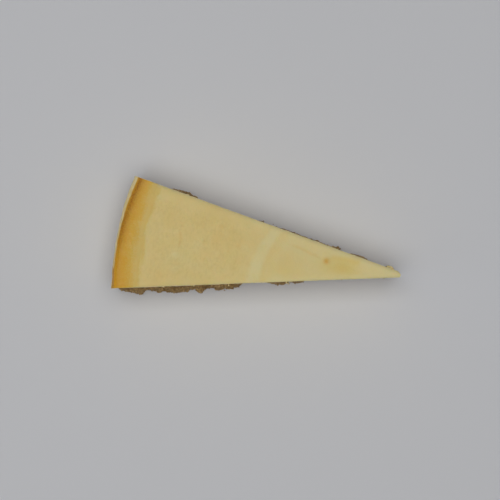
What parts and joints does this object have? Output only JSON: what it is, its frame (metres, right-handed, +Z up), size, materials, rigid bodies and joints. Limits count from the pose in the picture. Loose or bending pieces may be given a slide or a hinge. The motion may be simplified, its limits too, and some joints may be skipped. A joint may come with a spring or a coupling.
{
  "type": "cheesecake slice",
  "caption": "Slender wedge of plain baked cheesecake with a browned rim, pale cut sides and a thin crumbly biscuit base.",
  "frame": {"origin": "centre of the bounding box's underside, on the surface that the slice stands on", "axes": "+X along the slice towards its tip, +Y towards the cut that the picture shows uppermost, +Z up"},
  "size_m": [0.1239, 0.0517, 0.042],
  "materials": {
    "baked_cheese": "satin pale yellow baked cheese, golden brown at the rim",
    "biscuit_crumb": "dull brown pressed biscuit crumb"
  },
  "bodies": {
    "root": {"cheese_layer": "baked_cheese", "biscuit_base": "biscuit_crumb"}
  },
  "joints": []
}
